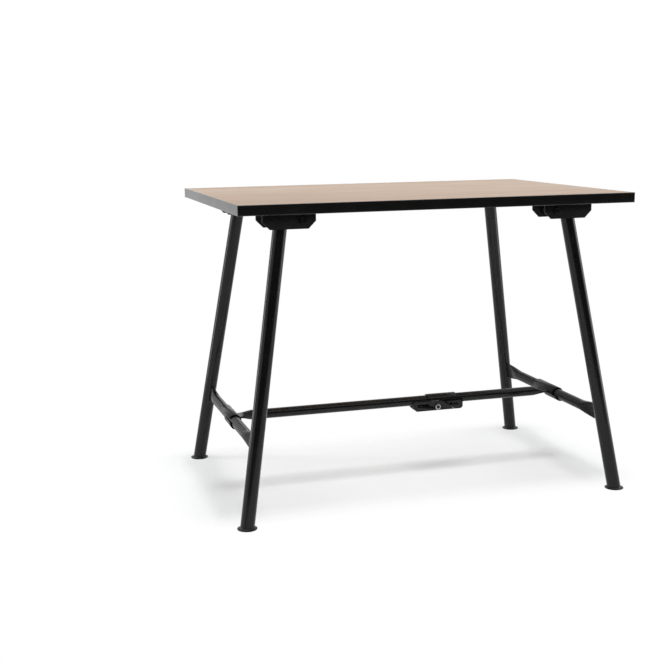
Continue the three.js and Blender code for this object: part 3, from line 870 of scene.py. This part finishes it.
def bulge(value, squareness):
    """Coordinate on a circle, pushed out towards the square round it."""
    return math.copysign(abs(value) ** (2 / squareness), value)


def blade_point(size, press, across, thick):
    """Where a point of the round section goes when the tube is pressed by a share."""
    wide = size["radius"] + (size["blade"] / 2 - size["radius"]) * press
    thin = size["radius"] + (size["thick"] / 2 - size["radius"]) * press
    squareness = ROUND_SECTION + (BLADE_SECTION - ROUND_SECTION) * press
    return wide * bulge(across, squareness), thin * bulge(thick, squareness)


def press_at(size, distance):
    """Share of pressing at a distance from the blade's end."""
    return 1 - smooth_step((distance - size["flat"]) / size["press"])


def ringed_tube(name, size, start, end, axis, centre):
    """Tube along an axis with closed ends and extra rings where it will be pressed."""
    turn = axis.to_track_quat("Z", "Y").to_euler()
    tube = begin(
        bpy.ops.mesh.primitive_cylinder_add, name, vertices=TUBE_CORNERS, radius=size["radius"],
        depth=abs(end - start), location=centre + axis * (start + end) / 2, rotation=turn,
    )
    open_edit(tube)
    way = math.copysign(1, end - start)
    for ring in range(PRESS_RINGS + 1):
        cut = start + way * (size["flat"] + size["press"] * ring / PRESS_RINGS)
        bpy.ops.mesh.select_all(action="SELECT")
        bpy.ops.mesh.bisect(plane_co=centre + axis * cut, plane_no=axis)
    close_edit()
    return tube


print("a press takes", PRESS_RINGS, "rings")

# %% Crossbar tubes
ALONG_X, ALONG_Y = Vector((1, 0, 0)), Vector((0, 1, 0))
TUBE_ANGLE = 50
SEAM_REACH = 0.02 * MM
BAR = {"radius": 15 * MM, "blade": 48 * MM, "thick": 7 * MM, "flat": 10 * MM, "press": 90 * MM}
BAR_HEIGHT = 0.215
BAR_X = LEG_AT_FLOOR.x + LEAN.x * BAR_HEIGHT
BAR_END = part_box("crossbar_right")[1].y - abs(LEAN.y) * BAR["blade"] / 2
BAR_CENTRE = Vector((BAR_X, 0, BAR_HEIGHT))


def is_inner_end(face):
    """Whether a face closes the half tube at the middle of the bench."""
    return len(face.verts) > 4 and abs(face.calc_center_median().y) < NEAR


half_bar = ringed_tube("bar_pattern", BAR, BAR_END, 0, ALONG_Y, BAR_CENTRE)
for corner in half_bar.data.vertices:
    along = corner.co.y
    press = press_at(BAR, BAR_END - along)
    tall, thick = (corner.co.z - BAR_HEIGHT) / BAR["radius"], (corner.co.x - BAR_X) / BAR["radius"]
    tall, thick = blade_point(BAR, press, tall, thick)
    corner.co = (
        BAR_X + thick + press * LEAN.x * tall,
        along + press * LEAN.y * tall,
        BAR_HEIGHT + tall,
    )
open_edit(half_bar)
select_where(half_bar, "faces", is_inner_end)
bpy.ops.mesh.delete(type="FACE")
close_edit()
modify(half_bar, "MIRROR", use_axis=(False, True, False), use_clip=True, merge_threshold=SEAM_REACH)
for end, sx in ENDS.items():
    crossbar = twin(half_bar, f"crossbar_tube_{end}", Matrix.Diagonal((sx, 1, 1, 1)))
    dress(crossbar, "shaded_matt_steel", FRAMES[end], f"crossbar_{end}", angle=TUBE_ANGLE)
discard(half_bar)
print("crossbars end at", round(BAR_END, 4))

# %% [markdown]
# ## Brace
# The brace runs between the crossbars in two tubes. Each is pressed flat where it meets the rolled
# sleeve that turns on its crossbar, and stays round at the latch. The same press shapes the flat end.
# The open end is seen when the brace parts, so its face is inset by the wall and pushed in, which is
# simpler than a full inner tube.

# %% Brace tubes
BRACE = {"radius": 14.2 * MM, "blade": 52 * MM, "thick": 6 * MM, "flat": 5 * MM, "press": 38 * MM}
BRACE_CENTRE = Vector((0, 0, BAR_HEIGHT))
HOLLOW = 40 * MM


def brace_tube(name, node, way):
    """Brace tube that starts at its blade and runs the given way along X to its open end."""
    low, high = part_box(node)
    start, end = (low.x, high.x) if way > 0 else (high.x, low.x)
    tube = ringed_tube(name, BRACE, start, end, ALONG_X, BRACE_CENTRE)
    for corner in tube.data.vertices:
        press = press_at(BRACE, abs(corner.co.x - start))
        wide, thick = corner.co.y / BRACE["radius"], (corner.co.z - BAR_HEIGHT) / BRACE["radius"]
        wide, thick = blade_point(BRACE, press, wide, thick)
        corner.co = (corner.co.x, wide, BAR_HEIGHT + thick)
    open_edit(tube)
    select_where(tube, "faces", lambda face: abs(face.calc_center_median().x - end) < NEAR)
    bpy.ops.mesh.inset(thickness=TUBE_WALL, depth=0)
    bpy.ops.mesh.extrude_region_move(TRANSFORM_OT_translate={"value": (-way * HOLLOW, 0, 0)})
    close_edit()
    return tube


long_tube = brace_tube("brace_pipe_long", "brace_tube_long", 1)
dress(long_tube, "black_steel", LONG_HALF, "brace_tube_long", angle=TUBE_ANGLE)
short_tube = brace_tube("brace_pipe_short", "brace_tube_short", -1)
dress(short_tube, "black_steel", SHORT_HALF, "brace_tube_short", angle=TUBE_ANGLE)
print("brace tubes", round(long_tube.dimensions.x, 4), round(short_tube.dimensions.x, 4))

# %% [markdown]
# The sleeves and the latch cover are rolled from plate. A sleeve is a saddle over its crossbar, joined
# at the brace's side to a hook under the bar's front part, and the cover is a half round. Booleans could
# cut them from thick tubes, but leave ragged faces that bevel badly. So each starts as an open tube that
# is cut into lengths by bisect, and the faces where there is no plate are deleted. Solidify gives the
# sheet its thickness, and a bevel rounds the cut edges, which catch the light.

# %% Sleeves and latch cover
SLEEVE_PLATE = 2.75 * MM
COVER_PLATE = 2.8 * MM
ROLL_CORNERS = 144
SADDLE_PLACE, SADDLE_ANGLES = (-57 * MM, 71 * MM), (-20, 150)
HOOK_PLACE, HOOK_ANGLES = (-80 * MM, 0), (170, 350)
COVER_ANGLES = (4, 176)


def between(value, limits, turn=0):
    """Whether a value lies between limits, or does so a turn earlier or later."""
    return any(limits[0] < value + shift < limits[1] for shift in (-turn, 0, turn))


def sleeve_plate(along, angle):
    """Whether a sleeve has plate at a place along its bar and an angle from the brace's side."""
    over = between(along, SADDLE_PLACE) and between(angle, SADDLE_ANGLES, 360)
    under = between(along, HOOK_PLACE) and between(angle, HOOK_ANGLES, 360)
    return over or under


def cover_plate(along, angle):
    """Whether the latch cover has plate at an angle; it is the same all along."""
    return between(angle, COVER_ANGLES, 360)


def rolled_plate(name, node, axis, plate, has_plate, side=1, cuts=()):
    """Plate rolled round an axis at brace height, cut into lengths and kept where has_plate allows."""
    low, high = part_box(node)
    centre = Vector(((low.x + high.x) / 2, (low.y + high.y) / 2, BAR_HEIGHT))
    across = Vector((abs(axis.y), abs(axis.x), 0)) * side
    piece = begin(
        bpy.ops.mesh.primitive_cylinder_add, name, vertices=ROLL_CORNERS, radius=high.z - BAR_HEIGHT,
        depth=(high - low).dot(axis), end_fill_type="NOTHING", location=centre,
        rotation=axis.to_track_quat("Z", "Y").to_euler(),
    )

    def is_bare(face):
        """Whether there is no plate where a face of the tube lies."""
        place = face.calc_center_median()
        angle = math.degrees(math.atan2(place.z - BAR_HEIGHT, (place - centre).dot(across)))
        return not has_plate(place.dot(axis), angle)

    open_edit(piece)
    for cut in cuts:
        bpy.ops.mesh.select_all(action="SELECT")
        bpy.ops.mesh.bisect(plane_co=axis * cut, plane_no=axis)
    select_where(piece, "faces", is_bare)
    bpy.ops.mesh.delete(type="FACE")
    close_edit()
    modify(piece, "SOLIDIFY", thickness=plate, offset=-1)
    soften(piece, PLATE_ROUND, angle=CUT_ANGLE)
    return piece


SLEEVE_CUTS = (SADDLE_PLACE[0], HOOK_PLACE[1])
for name, node, body, side in (
    ("brace_sleeve_left_plate", "brace_sleeve_left", LONG_HALF, 1),
    ("brace_sleeve_right_plate", "brace_sleeve_right", SHORT_HALF, -1),
):
    sleeve = rolled_plate(name, node, ALONG_Y, SLEEVE_PLATE, sleeve_plate, side, SLEEVE_CUTS)
    dress(sleeve, "shaded_matt_steel", body, node)
    print(name, len(sleeve.data.polygons), "faces")
guard = rolled_plate("latch_guard", "latch_cover", ALONG_X, COVER_PLATE, cover_plate)
dress(guard, "black_steel", SHORT_HALF, "latch_cover")
print("latch_guard", len(guard.data.polygons), "faces")

# %% [markdown]
# The latch is a slotted tray in two parts under the joint of the tubes, with a bright bolt across it.
# The tray and the nut come from the CAD with softened edges, as the shoes did. The bolt shows its round
# head to the front, with a turned rim round a dark socket. The dark in the socket is painted shade: a
# black piece of its own fills the turned rim.

# %% Latch tray and nut
for node, name, finish, body in (
    ("latch_channel_long", "latch_tray_long", "black_steel", LONG_HALF),
    ("latch_channel_short", "latch_tray_short", "black_steel", SHORT_HALF),
    ("latch_nut", "latch_pin_nut", "zinc", LONG_HALF),
):
    copy = softened_copy(node, name, FASTENER_ROUND, FASTENER_ANGLE)
    dress(copy, finish, body, node)
    print(name, len(copy.data.polygons), "faces")

# %% Latch bolt
PIN_HEAD = 4.2 * MM
PIN_CORNERS = 40
PIN_RINGS = [
    (2.6, 0.9), (4.9, 1.1), (5.3, 1.6), (5.5, 3.6), (5.9, 4.1), (6.2, 4.2), (7.4, 4.2), (8.1, 3.9),
    (8.5, 3.2), (8.5, 0.0), (4.0, 0.0), (4.0, -47.1),
]
PIN_SOCKET_SHADE_RINGS = [(4.6, 0.8), (4.6, 2.4), (4.3, 2.7), (2.3, 2.7), (2.0, 1.6)]
pin_low, pin_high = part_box("latch_bolt")
pin_face = pin_low.y + PIN_HEAD
pin_middle = (pin_low + pin_high) / 2
to_front = Matrix.Rotation(math.radians(90), 4, "X")
pin_place = Matrix.Translation((pin_middle.x, pin_face, pin_middle.z)) @ to_front
for name, rings, finish, nodes in (
    ("latch_pin", PIN_RINGS, "zinc", ["latch_bolt"]),
    # Painted shade: a black piece in the bolt's socket stands for the shade inside it.
    ("latch_pin_socket", PIN_SOCKET_SHADE_RINGS, "black_steel", []),
):
    pin = turned_piece(name, rings, PIN_CORNERS)
    pin.data.transform(pin_place)
    dress(pin, finish, LONG_HALF, *nodes)
print("latch pin from", round(pin_low.y, 4), "to", round(pin_high.y, 4))

# %% [markdown]
# ## Welds
# The crossbars are welded to the legs and the brace blades to their sleeves. A weld bead is a thin
# uneven roll of metal round the blade's end. A torus can't follow a flat blade, so the bead is drawn as
# a closed curve with a wavering thickness and turned into a mesh.

# %% Weld beads
BEAD_RADIUS = 1.7 * MM
BEAD_POINTS = 72
BEAD_RIPPLE = 0.14
BEAD_WAVES = 24
BEAD_OUT = 0.4 * MM
BEAD_STEPS = 3


def bead(name, points):
    """Closed roll of weld along points, as a mesh."""
    curve = bpy.data.curves.new(name, "CURVE")
    curve.dimensions = "3D"
    curve.bevel_depth = BEAD_RADIUS
    curve.bevel_resolution = BEAD_STEPS
    line = curve.splines.new("POLY")
    line.use_cyclic_u = True
    line.points.add(len(points) - 1)
    for index, (knot, point) in enumerate(zip(line.points, points)):
        knot.co = (*point, 1)
        knot.radius = 1 + BEAD_RIPPLE * math.sin(index / len(points) * BEAD_WAVES * 2 * math.pi)
    piece = bpy.data.objects.new(name, curve)
    bpy.context.scene.collection.objects.link(piece)
    pick(piece)
    bpy.ops.object.convert(target="MESH")
    return bpy.context.active_object


def blade_outline(size, out):
    """Points round a blade's end, a little outside it."""
    points = []
    for index in range(BEAD_POINTS):
        angle = index / BEAD_POINTS * 2 * math.pi
        wide, thin = blade_point(size, 1, math.cos(angle), math.sin(angle))
        points.append((wide + math.copysign(out, wide), thin + math.copysign(out, thin)))
    return points


bar_points = [
    (BAR_X + thin + LEAN.x * wide, BAR_END + LEAN.y * wide, BAR_HEIGHT + wide)
    for wide, thin in blade_outline(BAR, BEAD_OUT)
]
bar_bead = bead("bead_pattern", bar_points)
at_corners(bar_bead, "crossbar_weld", "black_steel", FRAMES.get, lambda row, end: [])
for end, body, node in (("left", LONG_HALF, "brace_tube_long"), ("right", SHORT_HALF, "brace_tube_short")):
    low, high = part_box(node)
    start = low.x if end == "left" else high.x
    brace_points = [(start, wide, BAR_HEIGHT + thin) for wide, thin in blade_outline(BRACE, BEAD_OUT)]
    dress(bead(f"brace_weld_{end}", brace_points), "black_steel", body)
print("weld beads of", BEAD_POINTS, "points")

# %% [markdown]
# ## Floor and light
# The bench stands on white. More light could whiten the floor, but it would wash out the bench too. So
# the floor takes the lamps' light at a plain level and keeps the bench's soft shadow. What the camera
# and the reflections see of it is lifted to white in its material, a little under the bench and fully a
# step outside.

# %% What shows white
FLOOR_SIZE = 40.0
FLOOR_COLOUR = (0.785, 0.800, 0.815, 1)
FLOOR_LIFT = 0.10
SHADE_MIDDLE = (0, 0.06, 0)
SHADE_HALF = (0.55, 0.24, 0)
WHITE_REACH = 0.17


def seen_ray(tree):
    """1 for rays of the camera, of reflections and through glass, and 0 for the rest."""
    path = put(tree, "ShaderNodeLightPath")
    seen = path.outputs["Is Camera Ray"]
    for kind in ("Glossy", "Transmission"):
        either = put(tree, "ShaderNodeMath", operation="MAXIMUM")
        wire(tree, (seen, either.inputs[0]), (path.outputs[f"Is {kind} Ray"], either.inputs[1]))
        seen = either.outputs["Value"]
    return seen


def floor_white(tree):
    """Share of white on the floor: a small part of it under the bench, and all of it a step outside."""
    place = put(tree, "ShaderNodeTexCoord")
    centred = put(tree, "ShaderNodeVectorMath", {1: SHADE_MIDDLE}, operation="SUBTRACT")
    folded = put(tree, "ShaderNodeVectorMath", operation="ABSOLUTE")
    past = put(tree, "ShaderNodeVectorMath", {1: SHADE_HALF}, operation="SUBTRACT")
    outside = put(tree, "ShaderNodeVectorMath", {1: (0, 0, 0)}, operation="MAXIMUM")
    away = put(tree, "ShaderNodeVectorMath", operation="LENGTH")
    rise = put(
        tree, "ShaderNodeMapRange", {"From Max": WHITE_REACH, "To Min": FLOOR_LIFT, "To Max": 1.0},
        interpolation_type="SMOOTHSTEP",
    )
    wire(
        tree,
        (place.outputs["Object"], centred.inputs[0]),
        (centred.outputs["Vector"], folded.inputs[0]),
        (folded.outputs["Vector"], past.inputs[0]),
        (past.outputs["Vector"], outside.inputs[0]),
        (outside.outputs["Vector"], away.inputs[0]),
        (away.outputs["Value"], rise.inputs["Value"]),
    )
    return rise.outputs["Result"]


print("white within", WHITE_REACH, "m of the shade")

# %% Floor
floor = begin(bpy.ops.mesh.primitive_plane_add, "studio_floor", size=FLOOR_SIZE)
floor_paint = bpy.data.materials.new("studio_white")
floor_paint.use_nodes = True
tree = floor_paint.node_tree
tree.nodes.clear()
matt = put(tree, "ShaderNodeBsdfDiffuse", {"Color": FLOOR_COLOUR})
glow = put(tree, "ShaderNodeEmission", {"Color": (1, 1, 1, 1), "Strength": 1.0})
share = put(tree, "ShaderNodeMath", operation="MULTIPLY")
lifted = put(tree, "ShaderNodeMixShader")
output = put(tree, "ShaderNodeOutputMaterial")
wire(
    tree,
    (seen_ray(tree), share.inputs[0]),
    (floor_white(tree), share.inputs[1]),
    (share.outputs["Value"], lifted.inputs["Fac"]),
    (matt.outputs["BSDF"], lifted.inputs[1]),
    (glow.outputs["Emission"], lifted.inputs[2]),
    (lifted.outputs["Shader"], output.inputs["Surface"]),
)
floor.data.materials.append(floor_paint)
print("floor", FLOOR_SIZE, "m")

# %% [markdown]
# One large soft lamp hangs overhead, and the white world fills the shadows. Black tubes show little of
# that light, because gloss only shows a lamp where it is mirrored. A brighter lamp overhead would bleach
# the wood. So a tall strip stands at the back left and a tall softbox at the right, and each draws a
# light line along the legs.

# %% Lamps
def lamp(name, place, target, size, power):
    """Soft rectangular lamp that faces a point."""
    bpy.ops.object.select_all(action="DESELECT")
    bpy.ops.object.light_add(type="AREA", location=place)
    light = bpy.context.active_object
    light.name = name
    light.data.shape = "RECTANGLE"
    light.data.size, light.data.size_y = size
    light.data.energy = power
    light.rotation_euler = (Vector(target) - Vector(place)).to_track_quat("-Z", "Y").to_euler()
    return light


LAMPS = (
    ("overhead_softbox", (0.0, 0.1, 3.2), (0, 0, 0), (2.2, 1.8), 36),
    ("left_strip", (-2.65, 1.1, 1.1), (0, 0, 0.5), (0.35, 2.4), 17),
    ("right_softbox", (2.8, -0.4, 1.0), (0, 0, 0.4), (0.8, 2.2), 16),
)
for name, place, target, size, power in LAMPS:
    lamp(name, place, target, size, power)
print("lamps", len(LAMPS))

# %% World
WORLD_FILL = 0.42
world = bpy.data.worlds.new("studio_world")
world.use_nodes = True
bpy.context.scene.world = world
tree = world.node_tree
tree.nodes.clear()
level = put(tree, "ShaderNodeMapRange", {"To Min": WORLD_FILL, "To Max": 1.0})
sky = put(tree, "ShaderNodeBackground", {"Color": (1, 1, 1, 1)})
output = put(tree, "ShaderNodeOutputWorld")
wire(
    tree,
    (seen_ray(tree), level.inputs["Value"]),
    (level.outputs["Result"], sky.inputs["Strength"]),
    (sky.outputs["Background"], output.inputs["Surface"]),
)
print("world fill", WORLD_FILL)

# %% [markdown]
# Black gloss shows what stands round it. In a studio the side behind the camera is dark, which keeps the
# middle of each tube black between its light edges. A darker finish would lose the light edges too, so a
# black card stands there instead, and only reflections see it.

# %% Black card
CARD_SIZE = (13.0, 2.6)
CARD_PLACE = (-1.0, -3.7, 1.3)
CARD_BLACK = (0.01, 0.01, 0.01, 1)
card = begin(
    bpy.ops.mesh.primitive_plane_add, "studio_black_card", stretch=(*CARD_SIZE, 1), size=1,
    location=CARD_PLACE, rotation=(math.radians(90), 0, 0),
)
card_paint = bpy.data.materials.new("studio_black")
card_paint.use_nodes = True
card_shader = card_paint.node_tree.nodes["Principled BSDF"]
card_shader.inputs["Base Color"].default_value = CARD_BLACK
card_shader.inputs["Roughness"].default_value = 1.0
card_shader.inputs["Specular IOR Level"].default_value = 0.0
card.data.materials.append(card_paint)
for kind in ("camera", "diffuse", "transmission", "volume_scatter", "shadow"):
    setattr(card, f"visible_{kind}", False)
print("black card", CARD_SIZE)

# %% [markdown]
# The brace and the crossbars draw soft bands on the white floor, though the board hangs over them. A
# lamp under the board would be in the picture. So a round lamp over the bench lights the floor only,
# through light linking: the legs, crossbars and brace hold its light back, and the board does not.

# %% Floor light
FLOOR_LAMP_PLACE = (0.0, -0.4, 2.9)
FLOOR_LAMP_WIDE = 1.4
FLOOR_LAMP_POWER = 57
LETS_LIGHT_PASS = ("plywood_board", "edge_strip", "studio")
floor_lamp_size = (FLOOR_LAMP_WIDE, FLOOR_LAMP_WIDE)
floor_lamp = lamp("floor_lamp", FLOOR_LAMP_PLACE, (0, 0, 0), floor_lamp_size, FLOOR_LAMP_POWER)
floor_lamp.data.shape = "DISK"
lit = bpy.data.collections.new("lit_by_floor_light")
lit.objects.link(floor)
casters = bpy.data.collections.new("floor_light_casters")
for piece in bpy.context.scene.objects:
    if piece.type == "MESH" and not piece.name.startswith(LETS_LIGHT_PASS):
        casters.objects.link(piece)
floor_lamp.light_linking.receiver_collection = lit
floor_lamp.light_linking.blocker_collection = casters
